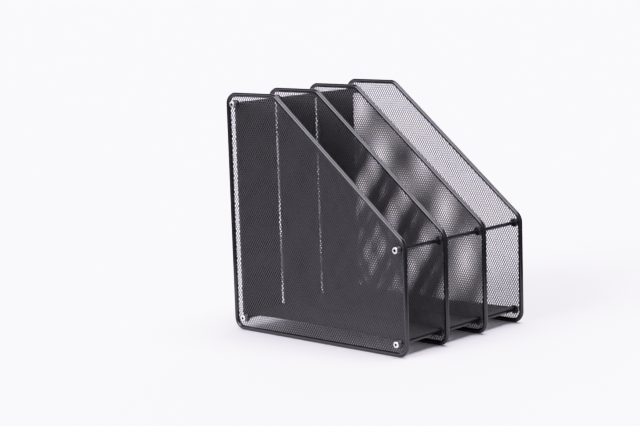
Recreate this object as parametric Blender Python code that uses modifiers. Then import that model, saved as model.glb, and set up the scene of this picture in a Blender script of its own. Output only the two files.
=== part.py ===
"""A three-bay magazine holder: four mesh panels in bent wire frames, joined by screwed cross rods.

The frame of the model: X runs across the bays from left to right, Y from the open front to the back,
Z up. The origin is at the middle of the footprint, on the surface that the holder stands on.
"""

import math

import bmesh
import bpy
from mathutils import Matrix, Vector

# Panel outline, along the centre line of its wire (all sizes in metres)
PANEL_DEPTH = 0.292
PANEL_HEIGHT = 0.309
TOP_LENGTH = 0.0835
KNEE_HEIGHT = 0.1385
SQUARE_BEND_RADIUS = 0.013
SLOPE_BEND_RADIUS = 0.016
WIRE_DIAMETER = 0.006
PANEL_PITCH = 0.0785

# Expanded mesh, with each drawn gap standing for a patch of the real, far smaller ones
MESH_THICKNESS = 0.0008
GAP_PITCH_ACROSS = 0.044
GAP_PITCH_ALONG = 0.062
STRAND_WIDTH = 0.005
MESH_MARGIN = 0.0035
SMALLEST_GAP_SHARE = 0.15

# Cross rods and what fastens them
SHANK_DIAMETER = 0.003
SHANK_REACH = 0.008
BORE_RUN_OUT = 0.001
ROD_WALL = 0.0006
EYELET_BARREL_WALL = 0.0017
EYELET_FLANGE_WIDTH = 0.0021
EYELET_FLANGE_THICKNESS = 0.0012
EYELET_PATCH = 0.0015
SCREW_HEAD_DIAMETER = 0.008
SCREW_HEAD_HEIGHT = 0.0055
SCREW_HEAD_ROUNDING = 0.0008
SCREW_RECESS_DIAMETER = 0.0036
SCREW_RECESS_DEPTH = 0.0022

# Clear space between the wire and the eyelets' flanges
REAR_TOP_EYELET_SPACE = 0.0046
REAR_BOTTOM_EYELET_SPACE = 0.0092
TOP_EYELET_SPACE = 0.004
BOTTOM_EYELET_SPACE = 0.0059
FRONT_EYELET_SPACE = 0.0029
KNEE_EYELET_SPACE = 0.001
SLOPE_EYELET_SPACE = 0.0037

# Bay meshes: how tight they bend between back and floor, and how far their ends bend over the rods
BAY_MESH_BEND_RADIUS = 0.003
END_TURN = math.radians(30)

# Gap left between pieces that touch, and how near two points are one
FIT = 0.0003
WELD = 0.00001

# Faces round the curved pieces
WIRE_BEVEL_RESOLUTION = 3
WIRE_SIDES = 4 + 2 * WIRE_BEVEL_RESOLUTION
BEND_STEPS = 4
TURN_STEPS = 10
SHEET_BEND_STEP = math.radians(30)
SHARP_EDGE = math.radians(40)

PANEL_NAMES = ("left_outer", "left_inner", "right_inner", "right_outer")
BAY_NAMES = ("left_bay", "middle_bay", "right_bay")

# Values that follow from the sizes above
WIRE_RADIUS = WIRE_DIAMETER / 2
WIRE_FLAT_RADIUS = WIRE_RADIUS * math.cos(math.pi / WIRE_SIDES)
MESH_INSET = WIRE_RADIUS + FIT
EYELET_HALF_GROOVE = MESH_THICKNESS / 2 + FIT
EYELET_REACH = EYELET_HALF_GROOVE + EYELET_FLANGE_THICKNESS
SHANK_RADIUS = SHANK_DIAMETER / 2
BORE_RADIUS = SHANK_RADIUS + FIT
EYELET_BARREL_RADIUS = BORE_RADIUS + EYELET_BARREL_WALL
EYELET_FLANGE_RADIUS = EYELET_BARREL_RADIUS + EYELET_FLANGE_WIDTH
EYELET_INSET = WIRE_RADIUS + EYELET_FLANGE_RADIUS
ROD_RADIUS = BORE_RADIUS + ROD_WALL
ROD_LENGTH = PANEL_PITCH - 2 * (EYELET_REACH + FIT)
SHEET_RADIUS = ROD_RADIUS + FIT + MESH_THICKNESS / 2
SHEET_HALF_WIDTH = ROD_LENGTH / 2
PANEL_ROTATION = (math.pi / 2, 0, math.pi / 2)
AXIS_TO_RIGHT = (0, math.pi / 2, 0)
AXIS_TO_LEFT = (0, -math.pi / 2, 0)

# Corners of the panel outline, in its own plane: depth from the front wire, height from the bottom wire
PANEL_CORNERS = (
    Vector((0, 0)),
    Vector((PANEL_DEPTH, 0)),
    Vector((PANEL_DEPTH, PANEL_HEIGHT)),
    Vector((PANEL_DEPTH - TOP_LENGTH, PANEL_HEIGHT)),
    Vector((0, KNEE_HEIGHT)),
)
PANEL_BEND_RADII = (
    SQUARE_BEND_RADIUS,
    SQUARE_BEND_RADIUS,
    SQUARE_BEND_RADIUS,
    SLOPE_BEND_RADIUS,
    SLOPE_BEND_RADIUS,
)


def rod_places():
    """Where the four rods of a bay cross the plane of a panel, as depth and height."""
    slope = math.atan2(PANEL_HEIGHT - KNEE_HEIGHT, PANEL_DEPTH - TOP_LENGTH)
    rear = PANEL_DEPTH - EYELET_INSET
    top = PANEL_HEIGHT - EYELET_INSET - TOP_EYELET_SPACE
    bottom = EYELET_INSET + BOTTOM_EYELET_SPACE
    front = EYELET_INSET + FRONT_EYELET_SPACE
    knee = EYELET_INSET + KNEE_EYELET_SPACE
    below_slope = (EYELET_INSET + SLOPE_EYELET_SPACE) / math.cos(slope)
    knee_height = KNEE_HEIGHT + knee * math.tan(slope) - below_slope
    return {
        "rear_top": Vector((rear - REAR_TOP_EYELET_SPACE, top)),
        "rear_bottom": Vector((rear - REAR_BOTTOM_EYELET_SPACE, bottom)),
        "front_bottom": Vector((front, bottom)),
        "knee": Vector((knee, knee_height)),
    }


RODS = rod_places()


# Scene, materials and placing

def clear_scene():
    for old in list(bpy.data.objects):
        bpy.data.objects.remove(old)


def finish(name, colour, roughness, metallic):
    material = bpy.data.materials.new(name)
    material.use_nodes = True
    shader = material.node_tree.nodes["Principled BSDF"]
    shader.inputs["Base Color"].default_value = (*colour, 1)
    shader.inputs["Roughness"].default_value = roughness
    shader.inputs["Metallic"].default_value = metallic
    return material


def paint(name, colour, roughness):
    return finish(name, colour, roughness, metallic=0)


def plating(name, colour, roughness):
    return finish(name, colour, roughness, metallic=1)


def add_object(name, data, parent=None, location=(0, 0, 0), rotation=(0, 0, 0)):
    piece = bpy.data.objects.new(name, data)
    piece.location = location
    piece.rotation_euler = rotation
    piece.parent = parent
    bpy.data.collections["magazine_holder"].objects.link(piece)
    return piece


def panel_places():
    """The middle plane of each panel across the bays."""
    middle = (len(PANEL_NAMES) - 1) / 2
    return [(index - middle) * PANEL_PITCH for index in range(len(PANEL_NAMES))]


def at_rod(rod, across=0.0):
    """A place on a rod's axis, beside the front bottom corner of the panel outline."""
    return (across, RODS[rod].x, RODS[rod].y)


# Flat outlines

def corner_frame(corners, index):
    """The directions from a corner along its two sides, and half the angle between them."""
    corner = corners[index]
    back = (corners[index - 1] - corner).normalized()
    ahead = (corners[(index + 1) % len(corners)] - corner).normalized()
    return back, ahead, back.angle(ahead) / 2


def bent_outline(corners, radii, inset):
    """A counter-clockwise outline with arcs at its corners, moved inwards by the inset."""
    points = []
    for index, corner in enumerate(corners):
        back, ahead, half = corner_frame(corners, index)
        centre = corner + (back + ahead).normalized() * radii[index] / math.sin(half)
        start = corner + back * radii[index] / math.tan(half)
        arm = (start - centre).normalized() * (radii[index] - inset)
        for step in range(BEND_STEPS + 1):
            turn = Matrix.Rotation((math.pi - 2 * half) * step / BEND_STEPS, 2)
            points.append(centre + turn @ arm)
    return points


def inside_lines(corners, radii, inset):
    """Lines that bound the inset outline: one along each side and one across each bend."""
    lines = []
    for index, corner in enumerate(corners):
        back, ahead, half = corner_frame(corners, index)
        inward = Vector((-ahead.y, ahead.x))
        lines.append((inward, inward.dot(corner) + inset))
        across = (back + ahead).normalized()
        bend_middle = corner + across * (radii[index] / math.sin(half) - radii[index])
        lines.append((across, across.dot(bend_middle) + inset))
    return lines


def clip(polygon, line):
    """The part of a convex polygon on the inner side of a line."""
    inward, limit = line
    kept = []
    for index, point in enumerate(polygon):
        before = inward.dot(polygon[index - 1]) - limit
        here = inward.dot(point) - limit
        if before * here < 0:
            kept.append(polygon[index - 1].lerp(point, before / (before - here)))
        if here >= 0:
            kept.append(point)
    return kept


def polygon_area(polygon):
    return sum(polygon[i - 1].cross(polygon[i]) for i in range(len(polygon))) / 2


def without_short_sides(polygon):
    return [p for i, p in enumerate(polygon) if (p - polygon[i - 1]).length > FIT]


def diamond():
    """One gap of the mesh, about its own centre, with half a strand taken off each side."""
    half_across = GAP_PITCH_ACROSS / 2
    half_along = GAP_PITCH_ALONG / 2
    side_distance = half_across * half_along / math.hypot(half_across, half_along)
    shrink = 1 - STRAND_WIDTH / 2 / side_distance
    return [
        Vector((half_across * shrink, 0)),
        Vector((0, half_along * shrink)),
        Vector((-half_across * shrink, 0)),
        Vector((0, -half_along * shrink)),
    ]


def mesh_gaps(middle, half_size, lines, eyelets):
    """Staggered diamond gaps about a middle point, clipped to the lines and kept off the eyelets."""
    gaps = []
    shape = diamond()
    patch_radius = EYELET_FLANGE_RADIUS + EYELET_PATCH
    columns = math.ceil(half_size.x / GAP_PITCH_ACROSS)
    rows = math.ceil(2 * half_size.y / GAP_PITCH_ALONG)
    for row in range(-rows, rows + 1):
        stagger = (row % 2) / 2
        for column in range(-columns - 1, columns + 1):
            centre = middle + Vector(((column + stagger) * GAP_PITCH_ACROSS, row * GAP_PITCH_ALONG / 2))
            gap = [centre + corner for corner in shape]
            for line in lines:
                gap = clip(gap, line)
            for eyelet in eyelets:
                away = (centre - eyelet).normalized()
                gap = clip(gap, (away, away.dot(eyelet) + patch_radius))
            gap = without_short_sides(gap)
            if len(gap) > 2 and polygon_area(gap) > SMALLEST_GAP_SHARE * polygon_area(shape):
                gaps.append(gap)
    return gaps


def circle(centre, radius):
    turns = [2 * math.pi * step / TURN_STEPS for step in range(TURN_STEPS)]
    return [centre + radius * Vector((math.cos(turn), math.sin(turn))) for turn in turns]


def add_spline(curve, points):
    spline = curve.splines.new("POLY")
    spline.points.add(len(points) - 1)
    for target, point in zip(spline.points, points):
        target.co = (point.x, point.y, 0, 1)
    spline.use_cyclic_u = True


def flat_sheet(name, outlines):
    """A filled sheet of mesh thickness: the first outline is its edge, the others are holes."""
    curve = bpy.data.curves.new(name, "CURVE")
    curve.dimensions = "2D"
    curve.fill_mode = "BOTH"
    curve.extrude = MESH_THICKNESS / 2
    for outline in outlines:
        add_spline(curve, outline)
    return curve


# Turned pieces, about their own Z axis

def turned_mesh(name, profile, closed=False):
    """A profile of radius and height, run down its outer side and turned about Z."""
    mesh = bpy.data.meshes.new(name)
    shape = bmesh.new()
    corners = [shape.verts.new((radius, 0, height)) for radius, height in profile]
    for upper, lower in zip(corners, corners[1:]):
        shape.edges.new((upper, lower))
    if closed:
        shape.edges.new((corners[-1], corners[0]))
    shape.to_mesh(mesh)
    shape.free()
    return mesh


def add_turned(name, mesh, parent, location, rotation):
    piece = add_object(name, mesh, parent, location, rotation)
    screw = piece.modifiers.new("turn", "SCREW")
    screw.axis = "Z"
    screw.steps = TURN_STEPS
    screw.render_steps = TURN_STEPS
    screw.use_merge_vertices = True
    screw.merge_threshold = WELD
    return piece


def rod_mesh():
    """A round bar with a tapped bore in each end."""
    end = ROD_LENGTH / 2
    bore_end = end - SHANK_REACH - BORE_RUN_OUT
    return turned_mesh("cross_rod", (
        (0, bore_end),
        (BORE_RADIUS, bore_end),
        (BORE_RADIUS, end),
        (ROD_RADIUS, end),
        (ROD_RADIUS, -end),
        (BORE_RADIUS, -end),
        (BORE_RADIUS, -bore_end),
        (0, -bore_end),
    ))


def eyelet_mesh():
    """A ring with a flange on each face of the panel mesh, whose barrel fills the hole between them."""
    return turned_mesh("eyelet", (
        (EYELET_FLANGE_RADIUS, EYELET_REACH),
        (EYELET_FLANGE_RADIUS, EYELET_HALF_GROOVE),
        (EYELET_BARREL_RADIUS, EYELET_HALF_GROOVE),
        (EYELET_BARREL_RADIUS, -EYELET_HALF_GROOVE),
        (EYELET_FLANGE_RADIUS, -EYELET_HALF_GROOVE),
        (EYELET_FLANGE_RADIUS, -EYELET_REACH),
        (BORE_RADIUS, -EYELET_REACH),
        (BORE_RADIUS, EYELET_REACH),
    ), closed=True)


def screw_mesh():
    """A screw with a round head, seated at height zero, with a recess for the key in its end."""
    top = SCREW_HEAD_HEIGHT
    head = SCREW_HEAD_DIAMETER / 2
    tip = -(2 * EYELET_REACH + 2 * FIT + SHANK_REACH)
    return turned_mesh("screw", (
        (0, top - SCREW_RECESS_DEPTH),
        (SCREW_RECESS_DIAMETER / 2, top),
        (head - SCREW_HEAD_ROUNDING, top),
        (head, top - SCREW_HEAD_ROUNDING),
        (head, 0),
        (SHANK_RADIUS, 0),
        (SHANK_RADIUS, tip),
        (0, tip),
    ))


def stud_mesh():
    """A headless stud that reaches into the rods on both sides of an inner panel."""
    mesh = bpy.data.meshes.new("stud")
    shape = bmesh.new()
    bmesh.ops.create_cone(
        shape,
        cap_ends=True,
        segments=TURN_STEPS,
        radius1=SHANK_RADIUS,
        radius2=SHANK_RADIUS,
        depth=2 * (EYELET_REACH + FIT + SHANK_REACH),
    )
    shape.to_mesh(mesh)
    shape.free()
    mesh.shade_smooth()
    mesh.set_sharp_from_angle(angle=SHARP_EDGE)
    return mesh


# Panels

def frame_curve():
    """The bent wire of a panel, welded into a closed loop, with a flat of its facets underneath."""
    curve = bpy.data.curves.new("panel_frame", "CURVE")
    curve.dimensions = "3D"
    curve.twist_mode = "Z_UP"
    curve.bevel_depth = WIRE_RADIUS
    curve.bevel_resolution = WIRE_BEVEL_RESOLUTION
    add_spline(curve, bent_outline(PANEL_CORNERS, PANEL_BEND_RADII, 0))
    for point in curve.splines[0].points:
        point.tilt = math.pi / WIRE_SIDES
    return curve


def panel_mesh_curve():
    """The flat mesh inside a panel's wire, with a hole for each eyelet's barrel."""
    edge = bent_outline(PANEL_CORNERS, PANEL_BEND_RADII, MESH_INSET)
    lines = inside_lines(PANEL_CORNERS, PANEL_BEND_RADII, MESH_INSET + MESH_MARGIN)
    half_size = Vector((PANEL_DEPTH, PANEL_HEIGHT)) / 2
    gaps = mesh_gaps(half_size, half_size, lines, RODS.values())
    holes = [circle(place, EYELET_BARREL_RADIUS + FIT) for place in RODS.values()]
    return flat_sheet("panel_mesh", [edge, *gaps, *holes])


# Bay meshes: two flat stretches, with their ends bent round the rods

def add_stretch(shape, near, far, place):
    """Adds a flat stretch of a bay mesh, drawn from near to far and moved to its place."""
    corners = [
        Vector((-SHEET_HALF_WIDTH, near)),
        Vector((SHEET_HALF_WIDTH, near)),
        Vector((SHEET_HALF_WIDTH, far)),
        Vector((-SHEET_HALF_WIDTH, far)),
    ]
    middle = (corners[0] + corners[2]) / 2
    lines = inside_lines(corners, (0, 0, 0, 0), MESH_MARGIN)
    gaps = mesh_gaps(middle, corners[2] - middle, lines, ())
    drawn = add_object("stretch", flat_sheet("stretch", [corners, *gaps]))
    seen = drawn.evaluated_get(bpy.context.evaluated_depsgraph_get())
    mesh = bpy.data.meshes.new_from_object(seen)
    mesh.transform(place)
    shape.from_mesh(mesh)
    bpy.data.meshes.remove(mesh)
    bpy.data.objects.remove(drawn)


def face_at(shape, depth, height):
    """The face of a sheet's end whose middle is nearest to a place in the middle of the bay."""
    place = Vector((0, depth, height))
    return min(shape.faces, key=lambda face: (face.calc_center_median() - place).length)


def bend_end(shape, end, centre, turn):
    """Draws the end face of a stretch round the axis of a bend and returns the face that it ends in."""
    bent = bmesh.ops.spin(
        shape,
        geom=[end, *end.edges, *end.verts],
        cent=(0, centre.x, centre.y),
        axis=(1, 0, 0),
        angle=turn,
        steps=math.ceil(abs(turn) / SHEET_BEND_STEP),
    )
    return next(item for item in bent["geom_last"] if isinstance(item, bmesh.types.BMFace))


def bay_mesh():
    """The sheet of a bay: its back hung behind the rear top rod, its floor laid on the two bottom ones."""
    rear, top = RODS["rear_top"]
    front, bottom = RODS["front_bottom"]
    back_plane = rear + SHEET_RADIUS
    floor_plane = bottom + SHEET_RADIUS
    bend = Vector((back_plane - BAY_MESH_BEND_RADIUS, floor_plane + BAY_MESH_BEND_RADIUS))
    upright = Matrix.Translation((0, back_plane, 0)) @ Matrix.Rotation(math.pi / 2, 4, "X")
    shape = bmesh.new()
    add_stretch(shape, bend.y, top, upright)
    add_stretch(shape, front, bend.x, Matrix.Translation((0, 0, floor_plane)))
    bmesh.ops.remove_doubles(shape, verts=shape.verts, dist=WELD)
    bend_end(shape, face_at(shape, back_plane, top), RODS["rear_top"], END_TURN)
    bend_end(shape, face_at(shape, front, floor_plane), RODS["front_bottom"], END_TURN)
    back_end = face_at(shape, back_plane, bend.y)
    floor_end = bend_end(shape, face_at(shape, bend.x, floor_plane), bend, math.pi / 2)
    bmesh.ops.delete(shape, geom=[floor_end, back_end], context="FACES_ONLY")
    bmesh.ops.remove_doubles(shape, verts=shape.verts, dist=WELD)
    bmesh.ops.recalc_face_normals(shape, faces=shape.faces)
    mesh = bpy.data.meshes.new("bay_mesh")
    shape.to_mesh(mesh)
    shape.free()
    return mesh


# Assembly

def add_empty(name, across):
    """A panel's or a bay's own reference point, at the front bottom corner of the panel outline."""
    return add_object(name, None, location=(across, -PANEL_DEPTH / 2, WIRE_FLAT_RADIUS))


def build():
    clear_scene()
    bpy.context.scene.collection.children.link(bpy.data.collections.new("magazine_holder"))

    frame = frame_curve()
    frame.materials.append(paint("frame_paint", colour=(0.013, 0.013, 0.015), roughness=0.32))
    panel_mesh = panel_mesh_curve()
    panel_mesh.materials.append(paint("panel_mesh_paint", colour=(0.016, 0.016, 0.018), roughness=0.42))
    sheet = bay_mesh()
    sheet.materials.append(paint("bay_mesh_paint", colour=(0.016, 0.016, 0.018), roughness=0.42))
    rod = rod_mesh()
    rod.materials.append(paint("rod_paint", colour=(0.012, 0.012, 0.013), roughness=0.3))
    eyelet = eyelet_mesh()
    eyelet.materials.append(paint("eyelet_paint", colour=(0.01, 0.01, 0.011), roughness=0.35))
    screw = screw_mesh()
    screw.materials.append(plating("screw_nickel", colour=(0.72, 0.71, 0.69), roughness=0.22))
    stud = stud_mesh()
    stud.materials.append(plating("stud_zinc", colour=(0.55, 0.55, 0.56), roughness=0.4))

    places = panel_places()
    screw_seat = EYELET_REACH + FIT
    for name, across in zip(PANEL_NAMES, places):
        panel = add_empty(name + "_panel", across)
        add_object(name + "_frame", frame, panel, rotation=PANEL_ROTATION)
        add_object(name + "_mesh", panel_mesh, panel, rotation=PANEL_ROTATION)
        for place in RODS:
            add_turned(f"{name}_{place}_eyelet", eyelet, panel, at_rod(place), AXIS_TO_RIGHT)
            if across == places[0]:
                add_turned(f"left_{place}_screw", screw, panel, at_rod(place, -screw_seat), AXIS_TO_LEFT)
            elif across == places[-1]:
                add_turned(f"right_{place}_screw", screw, panel, at_rod(place, screw_seat), AXIS_TO_RIGHT)
            else:
                add_object(f"{name}_{place}_stud", stud, panel, at_rod(place), AXIS_TO_RIGHT)

    for name, left, right in zip(BAY_NAMES, places, places[1:]):
        bay = add_empty(name, (left + right) / 2)
        add_object(name + "_mesh", sheet, bay)
        for place in RODS:
            add_turned(f"{name}_{place}_rod", rod, bay, at_rod(place), AXIS_TO_RIGHT)


build()
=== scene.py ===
"""The looks of a three-bay magazine holder in black wire and expanded steel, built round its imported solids.

X runs across the bays from left to right, Y from the open front to the back, Z up. Sizes are in metres.
"""

import math

import bmesh
import bpy
from mathutils import Matrix, Vector


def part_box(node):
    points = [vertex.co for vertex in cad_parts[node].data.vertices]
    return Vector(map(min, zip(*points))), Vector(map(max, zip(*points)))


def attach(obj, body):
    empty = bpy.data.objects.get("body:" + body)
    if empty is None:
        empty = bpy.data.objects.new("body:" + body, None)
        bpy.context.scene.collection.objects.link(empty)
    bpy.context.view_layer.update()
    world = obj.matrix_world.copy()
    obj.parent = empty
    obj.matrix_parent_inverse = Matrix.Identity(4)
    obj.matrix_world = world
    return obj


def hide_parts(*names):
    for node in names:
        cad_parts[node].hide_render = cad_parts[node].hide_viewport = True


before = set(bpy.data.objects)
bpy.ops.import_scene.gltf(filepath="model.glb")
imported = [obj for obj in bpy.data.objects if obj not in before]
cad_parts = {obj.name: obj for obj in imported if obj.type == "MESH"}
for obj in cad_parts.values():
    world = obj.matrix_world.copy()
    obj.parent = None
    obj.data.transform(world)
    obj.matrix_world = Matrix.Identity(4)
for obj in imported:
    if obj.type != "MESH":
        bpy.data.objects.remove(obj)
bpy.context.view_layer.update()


# Panel frames
# Each side panel has one length of 6 mm steel wire, bent to a closed five-sided loop and butt-welded shut.
# The loop is coated with black powder after welding, so the coat runs unbroken round every bend.

PANELS = ("left_outer", "left_inner", "right_inner", "right_outer")
WIRE_RADIUS = 0.003
WIRE_SIDES = 32
TOP_LENGTH = 0.0835
KNEE_HEIGHT = 0.1385
SQUARE_BEND_RADIUS = 0.013
SLOPE_BEND_RADIUS = 0.016
BEND_STEPS = 16

# The coat's slow drift of colour and gloss, beside its fine dimples
DIMPLE_DETAIL = 2.0
DRIFT_DETAIL = 4.0
DRIFT_SCALE = 0.06
DRIFT_WEIGHT = 0.6
DRIFT_RANGE = (0.3, 0.7)

# What a skin takes, beside the scale of its texture, and what it gives to a finish
SKIN_INPUTS = {
    "Deep Colour": "Color",
    "Pale Colour": "Color",
    "Least Roughness": "Float",
    "Most Roughness": "Float",
}
SKIN_OUTPUTS = {
    "Colour": "Color",
    "Roughness": "Float",
    "Height": "Float",
}

# Where the Mix node keeps its colours, after its sockets for numbers and vectors
MIX_FIRST = 6
MIX_SECOND = 7
MIX_RESULT = 2

# Turns a panel's own plane, drawn as depth, height and thickness, to the holder's Y, Z and X
PANEL_TO_HOLDER = Matrix(((0, 0, 1, 0), (1, 0, 0, 0), (0, 1, 0, 0), (0, 0, 0, 1)))


class Field:
    """A number inside a node tree. Sums that are written with it become Math nodes."""

    def __init__(self, tree, socket):
        self.tree = tree
        self.socket = socket

    def maths(self, operation, *others):
        node = self.tree.nodes.new("ShaderNodeMath")
        node.operation = operation
        for socket, value in zip(node.inputs, (self, *others)):
            feed(self.tree, socket, value)
        return Field(self.tree, node.outputs["Value"])

    def __add__(self, other):
        return self.maths("ADD", other)

    def __sub__(self, other):
        return self.maths("SUBTRACT", other)

    def __mul__(self, other):
        return self.maths("MULTIPLY", other)

    def __mod__(self, other):
        return self.maths("FLOORED_MODULO", other)

    def __lt__(self, other):
        return self.maths("LESS_THAN", other)

    def __gt__(self, other):
        return self.maths("GREATER_THAN", other)

    def __neg__(self):
        return self.maths("MULTIPLY", -1)

    def __abs__(self):
        return self.maths("ABSOLUTE")

    def __floor__(self):
        return self.maths("FLOOR")


def feed(tree, socket, value):
    """Links a socket or a field to an input, or sets the input to a plain value."""
    if isinstance(value, Field):
        tree.links.new(value.socket, socket)
    elif isinstance(value, bpy.types.NodeSocket):
        tree.links.new(value, socket)
    else:
        socket.default_value = value


def add(tree, kind, inputs, **options):
    """Adds a node with its options set and its named inputs fed, and returns its outputs."""
    node = tree.nodes.new(kind)
    for option, value in options.items():
        setattr(node, option, value)
    for label, value in inputs.items():
        feed(tree, node.inputs[label], value)
    return node.outputs


def new_tree(name, inputs):
    """An empty Geometry Nodes tree with the named inputs, and the sockets that they arrive at."""
    tree = bpy.data.node_groups.new(name, "GeometryNodeTree")
    tree.interface.new_socket("Geometry", in_out="OUTPUT", socket_type="NodeSocketGeometry")
    for label, kind in inputs.items():
        tree.interface.new_socket(label, in_out="INPUT", socket_type="NodeSocket" + kind)
    return tree, tree.nodes.new("NodeGroupInput").outputs


def put_out(tree, geometry):
    """Ends a tree with the geometry that it gives."""
    tree.links.new(geometry, tree.nodes.new("NodeGroupOutput").inputs["Geometry"])


def put_out_painted(tree, geometry, paint):
    """Ends a tree with real geometry, all of it in one material."""
    real = add(tree, "GeometryNodeRealizeInstances", {"Geometry": geometry})["Geometry"]
    painted = add(tree, "GeometryNodeSetMaterial", {"Geometry": real, "Material": paint})["Geometry"]
    put_out(tree, painted)


def grow(name, source, tree, sizes):
    """Runs a tree on a source object and returns what grows from it as a plain mesh."""
    modifier = source.modifiers.new(name, "NODES")
    modifier.node_group = tree
    for item in tree.interface.items_tree:
        if item.in_out == "INPUT" and item.name in sizes:
            modifier[item.identifier] = sizes[item.name]
    grown = source.evaluated_get(bpy.context.evaluated_depsgraph_get())
    mesh = bpy.data.meshes.new_from_object(grown)
    mesh.name = name
    source.modifiers.remove(modifier)
    return mesh


def add_source(name, data):
    """An object that a tree grows from, removed again when its pieces are made."""
    source = bpy.data.objects.new(name, data)
    bpy.context.scene.collection.objects.link(source)
    return source


def add_piece(name, mesh, slot, *nodes):
    """A finished piece, which rides on the holder's one body and stands for solids of the frame."""
    piece = bpy.data.objects.new(name, mesh)
    bpy.context.scene.collection.objects.link(piece)
    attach(piece, "root")
    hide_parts(*nodes)


def line_source(name, points, radii, closed):
    """A line through points, each with its own radius, to bend a wire or a sheet along."""
    curve = bpy.data.curves.new(name, "CURVE")
    curve.dimensions = "3D"
    spline = curve.splines.new("POLY")
    spline.points.add(len(points) - 1)
    for target, point, radius in zip(spline.points, points, radii):
        target.co = (*point, 1)
        target.radius = radius
    spline.use_cyclic_u = closed
    return add_source(name, curve)


def ramp(tree, value, ends, results, **options):
    """Maps a value between two ends to one between two results, and holds it there."""
    return add(tree, "ShaderNodeMapRange", {
        "Value": value, "From Min": ends[0], "From Max": ends[1],
        "To Min": results[0], "To Max": results[1],
    }, **options)["Result"]


def mix_colours(tree, share, first, second):
    """Mixes two colours, by the share of the second one."""
    mixed = add(tree, "ShaderNodeMix", {
        "Factor": share, MIX_FIRST: first, MIX_SECOND: second,
    }, data_type="RGBA")
    return mixed[MIX_RESULT]


def new_skin(name, texture):
    """An empty shader group for a skin with one texture, and the sockets at its two ends."""
    group = bpy.data.node_groups.new(name, "ShaderNodeTree")
    for label, kind in {texture: "Float", **SKIN_INPUTS}.items():
        group.interface.new_socket(label, in_out="INPUT", socket_type="NodeSocket" + kind)
    for label, kind in SKIN_OUTPUTS.items():
        group.interface.new_socket(label, in_out="OUTPUT", socket_type="NodeSocket" + kind)
    return group, group.nodes.new("NodeGroupInput").outputs, group.nodes.new("NodeGroupOutput").inputs


def powder_coat_group():
    """The skin of baked powder: fine dimples, and a colour and a gloss that drift a little."""
    group, given, made = new_skin("powder_coat", "Dimples")
    spot = add(group, "ShaderNodeTexCoord", {})["Object"]
    dimples = add(group, "ShaderNodeTexNoise", {
        "Vector": spot, "Scale": given["Dimples"], "Detail": DIMPLE_DETAIL,
    })["Fac"]
    drift = add(group, "ShaderNodeTexNoise", {
        "Vector": spot, "Scale": Field(group, given["Dimples"]) * DRIFT_SCALE, "Detail": DRIFT_DETAIL,
    })["Fac"]
    paleness = Field(group, drift) * DRIFT_WEIGHT + Field(group, dimples) * (1 - DRIFT_WEIGHT)
    colour = mix_colours(group, paleness, given["Deep Colour"], given["Pale Colour"])
    roughness = ramp(group, drift, DRIFT_RANGE, (given["Least Roughness"], given["Most Roughness"]))
    group.links.new(colour, made["Colour"])
    group.links.new(roughness, made["Roughness"])
    group.links.new(dimples, made["Height"])
    return group


def new_material(name):
    """A new material, with the inputs of its one shader."""
    material = bpy.data.materials.new(name)
    material.use_nodes = True
    return material, material.node_tree.nodes["Principled BSDF"].inputs


def new_finish(name, group, values, depth):
    """A material that wears a skin with its own values, and with its texture as deep as given."""
    material, shader = new_material(name)
    tree = material.node_tree
    skin = add(tree, "ShaderNodeGroup", values, node_tree=group)
    bump = add(tree, "ShaderNodeBump", {"Height": skin["Height"], "Distance": depth, "Strength": 1.0})
    tree.links.new(skin["Colour"], shader["Base Color"])
    tree.links.new(skin["Roughness"], shader["Roughness"])
    tree.links.new(bump["Normal"], shader["Normal"])
    return material, shader


def coated(name, group, values, dimple_depth, gloss):
    """A coated finish: the values of its skin, how deep the dimples are, and how strongly it mirrors."""
    material, shader = new_finish(name, group, values, dimple_depth)
    shader["Specular IOR Level"].default_value = gloss
    return material


def bent_outline(tree, outline, bend_steps):
    """A panel's outline with an arc at each corner, of the radius that the corner holds."""
    bend = add(tree, "GeometryNodeInputRadius", {})["Radius"]
    return add(tree, "GeometryNodeFilletCurve", {
        "Curve": outline, "Radius": bend, "Count": bend_steps,
    }, mode="POLY")["Curve"]


def bent_wire_tree():
    """A round wire along a panel's bent outline."""
    tree, given = new_tree("bent_wire", {
        "Outline": "Geometry", "Bend Steps": "Int", "Wire Radius": "Float", "Sides": "Int",
        "Paint": "Material",
    })
    bent = bent_outline(tree, given["Outline"], given["Bend Steps"])
    even = add(tree, "GeometryNodeSetCurveRadius", {"Curve": bent, "Radius": 1.0})["Curve"]
    section = add(tree, "GeometryNodeCurvePrimitiveCircle", {
        "Resolution": given["Sides"], "Radius": given["Wire Radius"],
    })["Curve"]
    wire = add(tree, "GeometryNodeCurveToMesh", {"Curve": even, "Profile Curve": section})["Mesh"]
    put_out_painted(tree, wire, given["Paint"])
    return tree


frame_low, frame_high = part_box("left_outer_frame")
FRONT = frame_low.y + WIRE_RADIUS
REAR = frame_high.y - WIRE_RADIUS
BOTTOM = frame_low.z + WIRE_RADIUS
TOP = frame_high.z - WIRE_RADIUS

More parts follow.
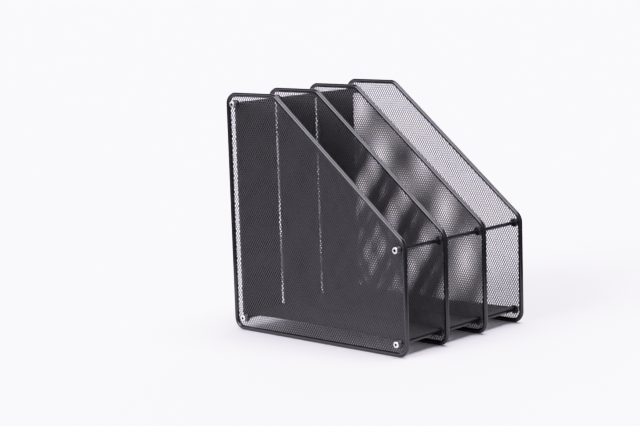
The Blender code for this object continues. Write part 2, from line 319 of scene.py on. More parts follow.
panel_outline = line_source(
    "panel_outline",
    [(FRONT, BOTTOM, 0), (REAR, BOTTOM, 0), (REAR, TOP, 0),
     (REAR - TOP_LENGTH, TOP, 0), (FRONT, BOTTOM + KNEE_HEIGHT, 0)],
    [SQUARE_BEND_RADIUS, SQUARE_BEND_RADIUS, SQUARE_BEND_RADIUS, SLOPE_BEND_RADIUS, SLOPE_BEND_RADIUS],
    closed=True,
)
powder_coat = powder_coat_group()
wire_paint = coated("wire_paint", powder_coat, {
    "Dimples": 1500.0, "Deep Colour": (0.003, 0.003, 0.004, 1), "Pale Colour": (0.009, 0.009, 0.010, 1),
    "Least Roughness": 0.08, "Most Roughness": 0.15,
}, dimple_depth=0.000006, gloss=0.5)
wire = grow("bent_wire", panel_outline, bent_wire_tree(), {
    "Bend Steps": BEND_STEPS, "Wire Radius": WIRE_RADIUS, "Sides": WIRE_SIDES, "Paint": wire_paint,
})
wire.shade_smooth()

panel_across = {}
for panel in PANELS:
    low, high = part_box(panel + "_frame")
    panel_across[panel] = (low.x + high.x) / 2
    placed = wire.copy()
    placed.transform(Matrix.Translation((panel_across[panel], 0, 0)) @ PANEL_TO_HOLDER)
    add_piece(panel + "_wire", placed, "frame_paint", panel + "_frame")


# Panel meshes
# Each frame is filled with expanded steel: thin sheet, slit in staggered rows and drawn open, which tilts
# its strands. They join at short bonds, and their cut ends are welded to the wire before coating.

PITCH_ACROSS = 0.0036
PITCH_ALONG = 0.0061
BOND_LENGTH = 0.0012
STRAND_WIDTH = 0.0016
STRANDS = {
    "Pitch Across": PITCH_ACROSS,
    "Pitch Along": PITCH_ALONG,
    "Strand Width": STRAND_WIDTH,
    "Bond Length": BOND_LENGTH,
}
STRAND_THICKNESS = 0.00065
STRAND_TILT = math.radians(33)
RINGS_PER_PITCH = 4
FILL_INSET = 0.0012

# Where each panel's blank was cut from the long sheet, in pitches across and along it
BLANK_SHIFTS = {
    "left_outer": (0, 0),
    "left_inner": (0.2, 0.3),
    "right_inner": (-0.1, 0.6),
    "right_outer": (-0.3, 0.15),
}
SPARE_PITCHES = 2

# The long sheet was drawn out of square: its columns lean to the front by this share of their height
SHEET_LEAN = 0.1

EYELET_HOLE_RADIUS = 0.004
ROD_NAMES = ("rear_top", "rear_bottom", "front_bottom", "knee")
SAME_POINT = 0.000005
CLEAR_OF_SHEET = 0.01


def place_parts(tree):
    """The X, Y and Z of each point."""
    place = add(tree, "GeometryNodeInputPosition", {})["Position"]
    return add(tree, "ShaderNodeSeparateXYZ", {"Vector": place})


def vector_maths(tree, operation, first, second):
    """Adds a node that works on two vectors, and returns its outputs."""
    return add(tree, "ShaderNodeVectorMath", {0: first, 1: second}, operation=operation)


def expanded_sheet_tree():
    """A sheet with no thickness yet: a blank of ribbons, slit between them, then drawn open and tilted.

    The ribbons lie side by side along X and run along Y, from zero. A pitch along them has four rings of
    points: the two ends of the bond with one neighbour, then of the bond with the other.
    """
    tree, given = new_tree("expanded_sheet", {
        "Ribbons": "Int", "Rings": "Int", "Pitch Across": "Float", "Pitch Along": "Float",
        "Strand Width": "Float", "Bond Length": "Float", "Tilt": "Float",
    })
    ribbons = Field(tree, given["Ribbons"])
    rings = Field(tree, given["Rings"])
    blank = add(tree, "GeometryNodeMeshGrid", {
        "Size X": ribbons, "Size Y": rings, "Vertices X": ribbons + 1, "Vertices Y": rings + 1,
    })["Mesh"]
    spot = place_parts(tree)
    column = Field(tree, spot["X"]) + ribbons * 0.5
    ring = Field(tree, spot["Y"]) + rings * 0.5

    # An edge is judged at its middle, which lies between two rings if it runs along a ribbon
    lengthwise = ring % 1 > 0.25
    away_from_bond = (math.floor(ring) + column * 2 + 2) % RINGS_PER_PITCH > 0.5
    slit = add(tree, "GeometryNodeSplitEdges", {
        "Mesh": blank, "Selection": lengthwise * away_from_bond,
    })["Mesh"]

    ribbon = Field(tree, add(tree, "GeometryNodeFieldOnDomain", {
        "Value": math.floor(column),
    }, domain="FACE", data_type="FLOAT")["Value"])
    side = (column - ribbon) * 2 - 1
    swing = -((math.floor(ring * 0.5) + ribbon) % 2 * 2 - 1) * abs(side)
    tilt = Field(tree, given["Tilt"])
    half_width = Field(tree, given["Strand Width"]) * 0.5
    half_run = half_width * tilt.maths("COSINE")
    half_rise = half_width * tilt.maths("SINE")
    spacing = Field(tree, given["Pitch Across"]) * 0.5
    across = (ribbon - ribbons * 0.5 + 0.5) * spacing + swing * (spacing * 0.5 - half_run) + side * half_run
    half_pitch = Field(tree, given["Pitch Along"]) * 0.5
    along = math.floor(ring * 0.5) * half_pitch + ring % 2 * Field(tree, given["Bond Length"])
    drawn_to = add(tree, "ShaderNodeCombineXYZ", {"X": across, "Y": along, "Z": (side - swing) * half_rise})
    drawn = add(tree, "GeometryNodeSetPosition", {"Geometry": slit, "Position": drawn_to["Vector"]})
    put_out(tree, drawn["Geometry"])
    return tree


def strand_thickness_tree():
    """Gives the strands of a flat expanded sheet their thickness, square to their tilt."""
    tree, given = new_tree("strand_thickness", {"Sheet": "Geometry", "Thickness": "Float", "Tilt": "Float"})
    tilt = Field(tree, given["Tilt"])
    square = add(tree, "ShaderNodeCombineXYZ", {
        "X": -tilt.maths("SINE"), "Z": tilt.maths("COSINE"),
    })["Vector"]
    front = add(tree, "GeometryNodeExtrudeMesh", {
        "Mesh": given["Sheet"], "Offset": square, "Offset Scale": given["Thickness"], "Individual": False,
    }, mode="FACES")["Mesh"]
    back = add(tree, "GeometryNodeFlipFaces", {"Mesh": given["Sheet"]})["Mesh"]
    both = add(tree, "GeometryNodeJoinGeometry", {"Geometry": front})["Geometry"]
    tree.links.new(back, both.node.inputs["Geometry"])
    closed = add(tree, "GeometryNodeMergeByDistance", {
        "Geometry": both, "Distance": SAME_POINT,
    })["Geometry"]
    put_out(tree, closed)
    return tree


def panel_fill_tree(expanded_sheet, strand_thickness):
    """Expanded sheet laid in a panel's plane, cut to the line of its wire and punched for its eyelets."""
    tree, given = new_tree("panel_fill", {
        "Outline": "Geometry", "Bend Steps": "Int", "Inset": "Float", "Eyelet Places": "Object",
        "Eyelet Hole": "Float", "Ribbons": "Int", "Rings": "Int", "Corner": "Vector", "Lean": "Float",
        "Thickness": "Float", "Tilt": "Float", "Paint": "Material",
    })
    sheet = add(tree, "GeometryNodeGroup", {
        "Ribbons": given["Ribbons"], "Rings": given["Rings"], "Tilt": given["Tilt"], **STRANDS,
    }, node_tree=expanded_sheet)["Geometry"]
    leaning = add(tree, "ShaderNodeCombineXYZ", {
        "X": Field(tree, place_parts(tree)["Y"]) * Field(tree, given["Lean"]),
    })["Vector"]
    moved = vector_maths(tree, "ADD", given["Corner"], leaning)["Vector"]
    laid = add(tree, "GeometryNodeSetPosition", {"Geometry": sheet, "Offset": moved})["Geometry"]

    edge = bent_outline(tree, given["Outline"], given["Bend Steps"])
    inside = add(tree, "GeometryNodeFillCurve", {"Curve": edge})["Mesh"]
    edge_line = add(tree, "GeometryNodeCurveToMesh", {"Curve": edge})["Mesh"]
    eyelets = add(tree, "GeometryNodeObjectInfo", {"Object": given["Eyelet Places"]})["Geometry"]
    place = add(tree, "GeometryNodeInputPosition", {})["Position"]
    below = vector_maths(tree, "ADD", place, (0, 0, -CLEAR_OF_SHEET))["Vector"]
    hit = Field(tree, add(tree, "GeometryNodeRaycast", {
        "Target Geometry": inside, "Source Position": below, "Ray Direction": (0, 0, 1),
        "Ray Length": 2 * CLEAR_OF_SHEET,
    })["Is Hit"])
    from_edge = Field(tree, add(tree, "GeometryNodeProximity", {
        0: edge_line,
    }, target_element="EDGES")["Distance"])
    from_eyelet = Field(tree, add(tree, "GeometryNodeProximity", {
        0: eyelets,
    }, target_element="POINTS")["Distance"])
    in_frame = hit * (from_edge > Field(tree, given["Inset"]))
    kept = in_frame * (from_eyelet > Field(tree, given["Eyelet Hole"]))
    cut = add(tree, "GeometryNodeDeleteGeometry", {
        "Geometry": laid, "Selection": kept < 0.5,
    }, domain="FACE")["Geometry"]
    thick = add(tree, "GeometryNodeGroup", {
        "Sheet": cut, "Thickness": given["Thickness"], "Tilt": given["Tilt"],
    }, node_tree=strand_thickness)["Geometry"]
    put_out_painted(tree, thick, given["Paint"])
    return tree


def points_source(name, places):
    """An object of bare points, to set pieces out on or to cut holes at."""
    mesh = bpy.data.meshes.new(name)
    mesh.from_pydata(places, [], [])
    return add_source(name, mesh)


def centre_of(node):
    """The middle of a solid's box."""
    low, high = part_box(node)
    return (low + high) / 2


rod_centres = {rod: centre_of(f"left_bay_{rod}_rod") for rod in ROD_NAMES}
eyelet_places = points_source("eyelet_places", [(place.y, place.z, 0) for place in rod_centres.values()])
expanded_sheet = expanded_sheet_tree()
strand_thickness = strand_thickness_tree()
# Painted light: the panel meshes wear the same coat as the bay strips, drawn paler, as though lit from
# outside the bays
panel_lit_paint = coated("panel_mesh_paint", powder_coat, {
    "Dimples": 2600.0, "Deep Colour": (0.035, 0.035, 0.037, 1), "Pale Colour": (0.063, 0.063, 0.067, 1),
    "Least Roughness": 0.30, "Most Roughness": 0.42,
}, dimple_depth=0.00002, gloss=0.5)
panel_fill = panel_fill_tree(expanded_sheet, strand_thickness)
lean_reach = SHEET_LEAN * (TOP - BOTTOM)
blank_middle = (FRONT + REAR + lean_reach) / 2
for panel in PANELS:
    shift_across, shift_along = BLANK_SHIFTS[panel]
    fill = grow(panel + "_fill", panel_outline, panel_fill, {
        "Bend Steps": BEND_STEPS,
        "Inset": FILL_INSET,
        "Eyelet Places": eyelet_places,
        "Eyelet Hole": EYELET_HOLE_RADIUS,
        "Ribbons": 2 * (math.ceil((REAR - FRONT + lean_reach) / PITCH_ACROSS) + SPARE_PITCHES),
        "Rings": RINGS_PER_PITCH * (math.ceil((TOP - BOTTOM) / PITCH_ALONG) + SPARE_PITCHES),
        "Corner": (blank_middle + shift_across * PITCH_ACROSS, BOTTOM - shift_along * PITCH_ALONG, 0),
        "Lean": -SHEET_LEAN,
        "Thickness": STRAND_THICKNESS,
        "Tilt": STRAND_TILT,
        "Paint": panel_lit_paint,
    })
    fill.transform(Matrix.Translation((panel_across[panel], 0, 0)) @ PANEL_TO_HOLDER)
    add_piece(panel + "_expanded_mesh", fill, "panel_mesh_paint", panel + "_mesh")
bpy.data.objects.remove(panel_outline)
bpy.data.objects.remove(eyelet_places)


# Eyelets
# A flanged ring is pressed into the mesh at each corner of a panel, so that a screw has something to clamp.
# It is turned steel, painted black, with its rims rounded over.

EYELET_FLANGE_RADIUS = 0.0056
EYELET_FLANGE_THICKNESS = 0.0012
EYELET_BARREL_RADIUS = 0.0035
EYELET_BORE_RADIUS = 0.0018
EYELET_RIM_ROUNDING = 0.001
EYELET_EDGE_ROUNDING = 0.00015
ROUNDING_STEPS = 4
TURN_STEPS = 40
SHARP_EDGE = math.radians(35)
LYING_ACROSS = (0, math.pi / 2, 0)


def rounded_corner(before, corner, after, rounding):
    """The points of an arc that rounds the corner of a profile over."""
    back = (before - corner).normalized()
    ahead = (after - corner).normalized()
    half = back.angle(ahead) / 2
    start = corner + back * rounding / math.tan(half)
    centre = corner + (back + ahead).normalized() * rounding / math.sin(half)
    turn = (start - centre).angle_signed(corner + ahead * rounding / math.tan(half) - centre)
    return [
        centre + Matrix.Rotation(-turn * step / ROUNDING_STEPS, 2) @ (start - centre)
        for step in range(ROUNDING_STEPS + 1)
    ]


def rounded_profile(corners, closed):
    """A profile of radius and height, from corners that each give a rounding too."""
    places = [Vector((radius, height)) for radius, height, rounding in corners]
    roundings = [rounding for radius, height, rounding in corners]
    points = []
    for index, (place, rounding) in enumerate(zip(places, roundings)):
        at_end = not closed and index in (0, len(places) - 1)
        if rounding and not at_end:
            after = places[(index + 1) % len(places)]
            points += rounded_corner(places[index - 1], place, after, rounding)
        else:
            points.append(place)
    return points


def turned(name, corners, closed=False):
    """A profile turned about Z, with its seam and its poles closed."""
    points = rounded_profile(corners, closed)
    shape = bmesh.new()
    verts = [shape.verts.new((point.x, 0, point.y)) for point in points]
    edges = [shape.edges.new(pair) for pair in zip(verts, verts[1:])]
    if closed:
        edges.append(shape.edges.new((verts[-1], verts[0])))
    bmesh.ops.spin(
        shape, geom=[*verts, *edges], cent=(0, 0, 0), axis=(0, 0, 1), angle=2 * math.pi, steps=TURN_STEPS,
    )
    bmesh.ops.remove_doubles(shape, verts=shape.verts, dist=SAME_POINT)
    bmesh.ops.recalc_face_normals(shape, faces=shape.faces)
    mesh = bpy.data.meshes.new(name)
    shape.to_mesh(mesh)
    shape.free()
    mesh.shade_smooth()
    mesh.set_sharp_from_angle(angle=SHARP_EDGE)
    return mesh


def set_out_tree():
    """One shape set out on each of a row of points, turned the same way."""
    tree, given = new_tree("set_out", {
        "Places": "Geometry", "Shape": "Object", "Turn": "Rotation", "Paint": "Material",
    })
    shape = add(tree, "GeometryNodeObjectInfo", {"Object": given["Shape"], "As Instance": True})["Geometry"]
    row = add(tree, "GeometryNodeInstanceOnPoints", {
        "Points": given["Places"], "Instance": shape, "Rotation": given["Turn"],
    })["Instances"]
    put_out_painted(tree, row, given["Paint"])
    return tree


def add_row(name, shape, nodes, offset, turn, paint, slot):
    """Sets a shape out where the solids of a row are, and stands the row for them."""
    places = points_source(name + "_places", [centre_of(node) + offset for node in nodes])
    pattern = add_source(name + "_pattern", shape)
    row = grow(name, places, set_out, {"Shape": pattern, "Turn": turn, "Paint": paint})
    bpy.data.objects.remove(places)
    bpy.data.objects.remove(pattern)
    add_piece(name, row, slot, *nodes)


set_out = set_out_tree()
eyelet_low, eyelet_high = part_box("left_outer_knee_eyelet")
eyelet_reach = (eyelet_high.x - eyelet_low.x) / 2
groove = eyelet_reach - EYELET_FLANGE_THICKNESS
eyelet = turned("eyelet", (
    (EYELET_FLANGE_RADIUS, eyelet_reach, EYELET_RIM_ROUNDING),
    (EYELET_FLANGE_RADIUS, groove, EYELET_EDGE_ROUNDING),
    (EYELET_BARREL_RADIUS, groove, 0),
    (EYELET_BARREL_RADIUS, -groove, 0),
    (EYELET_FLANGE_RADIUS, -groove, EYELET_EDGE_ROUNDING),
    (EYELET_FLANGE_RADIUS, -eyelet_reach, EYELET_RIM_ROUNDING),
    (EYELET_BORE_RADIUS, -eyelet_reach, EYELET_EDGE_ROUNDING),
    (EYELET_BORE_RADIUS, eyelet_reach, EYELET_EDGE_ROUNDING),
), closed=True)
eyelet_paint = coated("eyelet_black", powder_coat, {
    "Dimples": 2200.0, "Deep Colour": (0.006, 0.006, 0.007, 1), "Pale Colour": (0.015, 0.015, 0.017, 1),
    "Least Roughness": 0.16, "Most Roughness": 0.26,
}, dimple_depth=0.00001, gloss=0.5)
eyelet_nodes = [f"{panel}_{rod}_eyelet" for panel in PANELS for rod in ROD_NAMES]
add_row("eyelets", eyelet, eyelet_nodes, Vector(), LYING_ACROSS, eyelet_paint, "eyelet_paint")


# Studs
# Headless zinc-plated studs join the rods of neighbouring bays through the eyelets of the two inner panels.
# They are inside the rods and eyelets, so their solids stay as they are, with a plated finish.

INNER_PANELS = ("left_inner", "right_inner")
GRAIN_DETAIL = 6.0
GRAIN_RAGGEDNESS = 0.7
GRAIN_DEPTH = 0.00001


def plating_group():
    """The skin of plated metal, whose colour and gloss vary with its fine grain."""
    group, given, made = new_skin("plating", "Grain")
    spot = add(group, "ShaderNodeTexCoord", {})["Object"]
    grain = add(group, "ShaderNodeTexNoise", {
        "Vector": spot, "Scale": given["Grain"], "Detail": GRAIN_DETAIL, "Roughness": GRAIN_RAGGEDNESS,
    })["Fac"]
    colour = mix_colours(group, grain, given["Deep Colour"], given["Pale Colour"])
    roughness = ramp(group, grain, (0, 1), (given["Least Roughness"], given["Most Roughness"]))
    group.links.new(colour, made["Colour"])
    group.links.new(roughness, made["Roughness"])
    group.links.new(grain, made["Height"])
    return group


def plated(name, group, values):
    """A plated metal finish, from the values of its skin."""
    material, shader = new_finish(name, group, values, GRAIN_DEPTH)
    shader["Metallic"].default_value = 1.0
    return material


plating = plating_group()
stud_plating = plated("zinc_plating", plating, {
    "Grain": 2500.0, "Deep Colour": (0.42, 0.43, 0.45, 1), "Pale Colour": (0.60, 0.60, 0.60, 1),
    "Least Roughness": 0.30, "Most Roughness": 0.50,
})
for panel in INNER_PANELS:
    for rod in ROD_NAMES:
        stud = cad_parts[f"{panel}_{rod}_stud"]
        stud.data.materials.clear()
        stud.data.materials.append(stud_plating)


# Cross rods
# Four round steel bars hold each bay open: two at the back, one at the floor's front and one at the knee.
# They are tapped at both ends for the screws and studs, and coated like the wire.

BAYS = ("left_bay", "middle_bay", "right_bay")
ROD_RADIUS = 0.0024
ROD_BORE_RADIUS = 0.0018
ROD_BORE_DEPTH = 0.009
ROD_RIM_ROUNDING = 0.0003

rod_low, rod_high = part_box("left_bay_knee_rod")
rod_end = (rod_high.x - rod_low.x) / 2
rod_shape = turned("rod", (
    (0, rod_end - ROD_BORE_DEPTH, 0),
    (ROD_BORE_RADIUS, rod_end - ROD_BORE_DEPTH, 0),
    (ROD_BORE_RADIUS, rod_end, 0),
    (ROD_RADIUS, rod_end, ROD_RIM_ROUNDING),
    (ROD_RADIUS, -rod_end, ROD_RIM_ROUNDING),
    (ROD_BORE_RADIUS, -rod_end, 0),
    (ROD_BORE_RADIUS, ROD_BORE_DEPTH - rod_end, 0),
    (0, ROD_BORE_DEPTH - rod_end, 0),
))
rod_nodes = [f"{bay}_{place}_rod" for bay in BAYS for place in ROD_NAMES]
add_row("cross_rods", rod_shape, rod_nodes, Vector(), LYING_ACROSS, wire_paint, "rod_paint")


# Bay meshes
# The back and the floor of a bay are one strip of expanded steel, bent to an L that just clears the panels.
# Its ends bend over the rear top and front bottom rods and are welded there. The floor bows a little.

BAY_SHEET_WIDTH = 0.0747
BAY_RIBBONS = 40
BAY_BEND_RADIUS = 0.003
END_TURN = math.radians(30)
BEND_STEP = math.radians(10)
FLOOR_STEPS = 16
FLOOR_BOWS = {"left_bay": 0.0035, "middle_bay": -0.001, "right_bay": -0.003}


def arc(centre, radius, start, turn):
    """Points round a rod or a bend, in the plane of depth and height."""
    steps = math.ceil(abs(turn) / BEND_STEP)
    angles = [start + turn * step / steps for step in range(steps + 1)]
    return [
        (0, centre.y + radius * math.cos(angle), centre.z + radius * math.sin(angle))
        for angle in angles
    ]


def bay_path(sheet_radius, bow):
    """The middle line of a bay's strip, from the rear top rod down the back and along the floor."""
    top = rod_centres["rear_top"]
    front = rod_centres["front_bottom"]
    bend = Vector((0, top.y + sheet_radius - BAY_BEND_RADIUS, front.z + sheet_radius + BAY_BEND_RADIUS))
    floor_plane = bend.z - BAY_BEND_RADIUS

    # The floor bows as a parabola, most of all halfway to the front
    floor = []
    for step in range(1, FLOOR_STEPS):
        share = step / FLOOR_STEPS
        rise = 4 * bow * share * (1 - share)
        floor.append((0, bend.y + (front.y - bend.y) * share, floor_plane + rise))

    return [
        *arc(top, sheet_radius, END_TURN, -END_TURN),
        *arc(bend, BAY_BEND_RADIUS, 0, -math.pi / 2),
        *floor,
        *arc(front, sheet_radius, math.pi / 2, END_TURN),
    ]


def bay_sheet_tree(expanded_sheet, strand_thickness):
    """A strip of expanded sheet with its thickness, bent along a path."""
    tree, given = new_tree("bay_sheet", {
        "Path": "Geometry", "Ribbons": "Int", "Rings": "Int", "Pitch Across": "Float",
        "Pitch Along": "Float", "Thickness": "Float", "Tilt": "Float", "Paint": "Material",
    })
    sheet = add(tree, "GeometryNodeGroup", {
        **STRANDS, "Ribbons": given["Ribbons"], "Rings": given["Rings"], "Tilt": given["Tilt"],
        "Pitch Across": given["Pitch Across"], "Pitch Along": given["Pitch Along"],
    }, node_tree=expanded_sheet)["Geometry"]
    thick = add(tree, "GeometryNodeGroup", {
        "Sheet": sheet, "Thickness": given["Thickness"], "Tilt": given["Tilt"],
    }, node_tree=strand_thickness)["Geometry"]
    flat = place_parts(tree)
    on_path = add(tree, "GeometryNodeSampleCurve", {
        "Curves": given["Path"], "Length": flat["Y"],
    }, mode="LENGTH")
    outward = vector_maths(tree, "CROSS_PRODUCT", (1, 0, 0), on_path["Tangent"])["Vector"]
    stand = add(tree, "ShaderNodeVectorMath", {
        0: outward, "Scale": flat["Z"],
    }, operation="SCALE")["Vector"]
    sideways = add(tree, "ShaderNodeCombineXYZ", {"X": flat["X"]})["Vector"]
    centred = vector_maths(tree, "ADD", on_path["Position"], stand)["Vector"]
    bent_to = vector_maths(tree, "ADD", centred, sideways)["Vector"]
    bent = add(tree, "GeometryNodeSetPosition", {"Geometry": thick, "Position": bent_to})["Geometry"]
    put_out_painted(tree, bent, given["Paint"])
    return tree


# Painted shade: the bay strips wear the same coat as the panel meshes, drawn darker, as though shaded inside
# the bays
bay_shaded_paint = coated("bay_mesh_paint", powder_coat, {
    "Dimples": 2600.0, "Deep Colour": (0.007, 0.007, 0.008, 1), "Pale Colour": (0.014, 0.014, 0.015, 1),
    "Least Roughness": 0.34, "Most Roughness": 0.46,
}, dimple_depth=0.00002, gloss=0.28)
bay_sheet = bay_sheet_tree(expanded_sheet, strand_thickness)
sheet_radius = ROD_RADIUS + STRAND_WIDTH * math.sin(STRAND_TILT) + STRAND_THICKNESS / 2
for bay in BAYS:
    points = bay_path(sheet_radius, FLOOR_BOWS[bay])
    length = sum(math.dist(a, b) for a, b in zip(points, points[1:])) - BOND_LENGTH
    pitches = round(length / PITCH_ALONG)
    path = line_source(bay + "_path", points, [1] * len(points), closed=False)
    strip = grow(bay + "_strip", path, bay_sheet, {
        "Ribbons": BAY_RIBBONS,
        "Rings": RINGS_PER_PITCH * pitches + 1,
        "Pitch Across": 2 * BAY_SHEET_WIDTH / BAY_RIBBONS,
        "Pitch Along": length / pitches,
        "Thickness": STRAND_THICKNESS,
        "Tilt": -STRAND_TILT,
        "Paint": bay_shaded_paint,
    })
    strip.transform(Matrix.Translation((centre_of(bay + "_knee_rod").x, 0, 0)))
    add_piece(bay + "_expanded_mesh", strip, "bay_mesh_paint", bay + "_mesh")
    bpy.data.objects.remove(path)


# Screws
# Bright nickel-plated screws, four on each side, pull the outer panels against the rods' ends.
# Each has a round head with a hexagon socket for the key, whose inside is darkened as painted shade.

SCREW_HEAD_RADIUS = 0.004
SCREW_HEAD_ROUNDING = 0.0007
SCREW_SHANK_RADIUS = 0.0015
SCREW_RIM_ROUNDING = 0.0003

# Each side with its outer panel and the turn that points a screw's head outward
SCREW_SIDES = (("left", "left_outer", -math.pi / 2), ("right", "right_outer", math.pi / 2))

SOCKET_SIDES = 6
SOCKET_RADIUS = 0.0021
SOCKET_DEPTH = 0.003
SOCKET_MARK = "in_socket"
# Painted shade: the dark colour mixed into the plating inside each socket
SOCKET_SHADE = (0.035, 0.034, 0.034, 1)


def socket_screw(top, tip):
    """A screw about Z, seated at zero, with a hexagon socket sunk in its head."""
    mesh = turned("screw", (
        (0, top, 0),
        (SCREW_HEAD_RADIUS, top, SCREW_HEAD_ROUNDING),
        (SCREW_HEAD_RADIUS, 0, SCREW_RIM_ROUNDING),
        (SCREW_SHANK_RADIUS, 0, 0),
        (SCREW_SHANK_RADIUS, tip, SCREW_RIM_ROUNDING),
        (0, tip, 0),
    ))
    key = bmesh.new()
    bmesh.ops.create_cone(
        key, cap_ends=True, segments=SOCKET_SIDES, radius1=SOCKET_RADIUS, radius2=SOCKET_RADIUS,
        depth=2 * SOCKET_DEPTH, matrix=Matrix.Translation((0, 0, top)),
    )
    key_mesh = bpy.data.meshes.new("socket")
    key.to_mesh(key_mesh)
    key.free()
    cutter = add_source("socket", key_mesh)
    blank = add_source("screw_blank", mesh)
    cut = blank.modifiers.new("socket", "BOOLEAN")
    cut.object = cutter
    cut.operation = "DIFFERENCE"
    sunk = bpy.data.meshes.new_from_object(blank.evaluated_get(bpy.context.evaluated_depsgraph_get()))
    sunk.set_sharp_from_angle(angle=SHARP_EDGE)
    marks = sunk.attributes.new(SOCKET_MARK, "FLOAT", "FACE")
    for face, mark in zip(sunk.polygons, marks.data):
        mark.value = 0 < face.center.z < top - SAME_POINT and face.center.xy.length < SOCKET_RADIUS
    bpy.data.objects.remove(cutter)
    bpy.data.objects.remove(blank)
    return sunk


def shade_sockets(material):
    """Darkens a plated finish in the sockets, which the screw's own mesh marks, as painted shade in the
    recess.
    """
    tree = material.node_tree
    base = tree.nodes["Principled BSDF"].inputs["Base Color"]
    mark = add(tree, "ShaderNodeAttribute", {}, attribute_name=SOCKET_MARK)["Fac"]
    tree.links.new(mix_colours(tree, mark, base.links[0].from_socket, SOCKET_SHADE), base)


screw_plating = plated("nickel_plating", plating, {
    "Grain": 1800.0, "Deep Colour": (0.70, 0.69, 0.67, 1), "Pale Colour": (0.88, 0.87, 0.85, 1),
    "Least Roughness": 0.26, "Most Roughness": 0.42,
})
shade_sockets(screw_plating)
for side, outer_panel, turn in SCREW_SIDES:
    nodes = [f"{side}_{place}_screw" for place in ROD_NAMES]
    low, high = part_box(nodes[0])
    inner, outer = sorted((low.x, high.x), key=abs)
    seat = centre_of(f"{outer_panel}_knee_eyelet").x + math.copysign(eyelet_reach, outer)
    screw = socket_screw(abs(outer - seat), -abs(inner - seat))
    offset = Vector((seat - (low.x + high.x) / 2, 0, 0))
    add_row(side + "_screws", screw, nodes, offset, (0, turn, 0), screw_plating, "screw_nickel")


# Stage
# A pale seamless floor under soft studio light, and the camera at the photograph's angle.

CAMERA_PLACE = (-1.61073, -1.39323, 0.48407)
CAMERA_AZIMUTH = math.radians(47.18)
CAMERA_ELEVATION = math.radians(8.83)
CAMERA_ROLL = math.radians(-1.90)
CAMERA_LENS = 92.70
CAMERA_CLIP_END = 200.0
FLOOR_HALF_WIDTH = 60.0
FLOOR_COLOURS = ((0.86, 0.858, 0.875, 1), (0.875, 0.873, 0.89, 1))
FLOOR_MOTTLE_SCALE = 3.0
FLOOR_MOTTLE_DETAIL = 3.0
FLOOR_ROUGHNESS = 0.7
FLOOR_GLOSS = 0.2

# Painted reflection: in the holder's glossy reflections alone, the floor ends this far from a point behind
# the middle and is dark beyond
MIRRORED_FLOOR_CENTRE = (0, 0.16, 0)
MIRRORED_FLOOR_REACH = 0.54
MIRRORED_FLOOR_FADE = 0.12
MIRRORED_FLOOR_END_COLOUR = (0.06, 0.06, 0.063, 1)

# Each softbox with where its light comes from, its strength and how wide it looks
SOFTBOXES = (
    ("overhead_softbox", (0.13, -0.15, 0.98), 2.05, math.radians(36)),
    ("left_softbox", (-0.865, 0.17, 0.47), 2.05, math.radians(33)),
)
LIGHT_COLOUR = (0.93, 0.88, 1.0)

# The surround's bright band, from foot to head as the height of a direction, and how its front is shaded
BAND_BRIGHTNESS = 1.5
DIM_BRIGHTNESS = 0.2
BAND_FOOT = (0.0, 0.1)
BAND_HEAD = (0.3, 0.65)
FORWARD = (0, -1, 0)
FRONT_SHADE_ENDS = (-0.1, 0.55)
FRONT_SHADE = (1.0, 0.12)

# How bright the picture shows the light that falls on the film
COMBINED_CURVE = 3
FILM_WHITE = 1.5
FILM_RESPONSE = ((0.1, 0.17), (0.25, 0.415), (0.45, 0.68), (0.7, 0.865), (1.0, 0.945))
FILM_LIMIT = 0.985


def add_floor():
    """A seamless pale floor, which ends in darkness only where the holder mirrors it: a painted dark
    reflection.
    """
    mesh = bpy.data.meshes.new("floor")
    shape = bmesh.new()
    bmesh.ops.create_grid(shape, x_segments=1, y_segments=1, size=FLOOR_HALF_WIDTH)
    shape.to_mesh(mesh)
    shape.free()
    material, shader = new_material("floor_white")
    tree = material.node_tree
    shader["Roughness"].default_value = FLOOR_ROUGHNESS
    shader["Specular IOR Level"].default_value = FLOOR_GLOSS
    spot = add(tree, "ShaderNodeTexCoord", {})["Object"]
    mottle = add(tree, "ShaderNodeTexNoise", {
        "Vector": spot, "Scale": FLOOR_MOTTLE_SCALE, "Detail": FLOOR_MOTTLE_DETAIL,
    })["Fac"]
    pale = mix_colours(tree, mottle, *FLOOR_COLOURS)
    away = vector_maths(tree, "DISTANCE", spot, MIRRORED_FLOOR_CENTRE)["Value"]
    fade = (MIRRORED_FLOOR_REACH - MIRRORED_FLOOR_FADE, MIRRORED_FLOOR_REACH + MIRRORED_FLOOR_FADE)
    reflection_darkening = Field(tree, ramp(tree, away, fade, (0, 1)))
    mirrored = Field(tree, add(tree, "ShaderNodeLightPath", {})["Is Glossy Ray"])
    seen = mix_colours(tree, reflection_darkening * mirrored, pale, MIRRORED_FLOOR_END_COLOUR)
    tree.links.new(seen, shader["Base Color"])
    mesh.materials.append(material)
    floor = add_source("floor", mesh)


def add_softbox(name, direction, strength, width):
    """A wide softbox, far enough away to light the whole floor evenly."""
    light = bpy.data.lights.new(name, "SUN")
    light.color = LIGHT_COLOUR
    light.energy = strength
    light.angle = width
    lamp = add_source(name, light)
    lamp.rotation_euler = (-Vector(direction)).to_track_quat("-Z", "Y").to_euler()


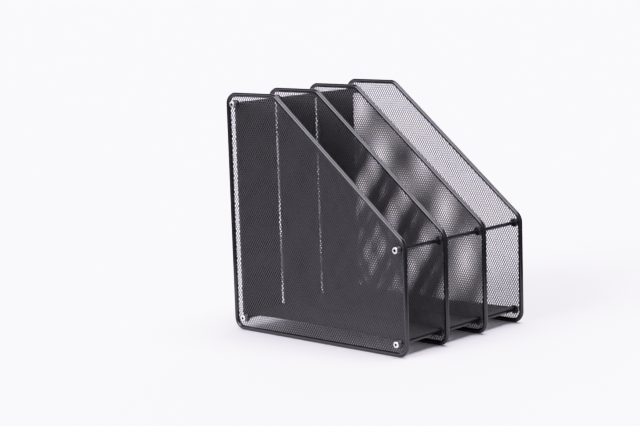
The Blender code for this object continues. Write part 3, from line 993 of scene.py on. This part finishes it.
def add_surround():
    """A bright band behind and beside the holder, dim below and above it, and dark in front."""
    world = bpy.data.worlds.new("surround")
    world.use_nodes = True
    bpy.context.scene.world = world
    tree = world.node_tree
    ray = add(tree, "ShaderNodeTexCoord", {})["Generated"]
    height = add(tree, "ShaderNodeSeparateXYZ", {"Vector": ray})["Z"]
    soft = {"interpolation_type": "SMOOTHSTEP"}
    rise = ramp(tree, height, BAND_FOOT, (DIM_BRIGHTNESS, BAND_BRIGHTNESS), **soft)
    fall = ramp(tree, height, BAND_HEAD, (BAND_BRIGHTNESS, DIM_BRIGHTNESS), **soft)
    band = Field(tree, rise).maths("MINIMUM", Field(tree, fall))
    ahead = vector_maths(tree, "DOT_PRODUCT", ray, FORWARD)["Value"]
    shade = ramp(tree, ahead, FRONT_SHADE_ENDS, FRONT_SHADE, **soft)
    background = tree.nodes["Background"]
    background.inputs["Color"].default_value = (*LIGHT_COLOUR, 1)
    feed(tree, background.inputs["Strength"], band * Field(tree, shade))


def add_camera():
    """A camera with the photograph's place, angle and lens."""
    lens = bpy.data.cameras.new("camera")
    lens.lens = CAMERA_LENS
    lens.clip_end = CAMERA_CLIP_END
    camera = add_source("camera", lens)
    camera.matrix_world = (
        Matrix.Translation(CAMERA_PLACE)
        @ Matrix.Rotation(-CAMERA_AZIMUTH, 4, "Z")
        @ Matrix.Rotation(math.pi / 2 - CAMERA_ELEVATION, 4, "X")
        @ Matrix.Rotation(CAMERA_ROLL, 4, "Z")
    )
    bpy.context.scene.camera = camera


def set_film_response():
    """Prints the scene as a bright exposure would: shades lifted, and white rolled off softly."""
    view = bpy.context.scene.view_settings
    view.view_transform = "Standard"
    view.use_curve_mapping = True
    response = view.curve_mapping
    response.white_level = (FILM_WHITE, FILM_WHITE, FILM_WHITE)
    points = response.curves[COMBINED_CURVE].points
    points[1].location = (1, FILM_LIMIT)
    for light, shown in FILM_RESPONSE:
        points.new(light / FILM_WHITE, shown)
    response.update()


add_floor()
add_surround()
for softbox in SOFTBOXES:
    add_softbox(*softbox)
add_camera()
set_film_response()
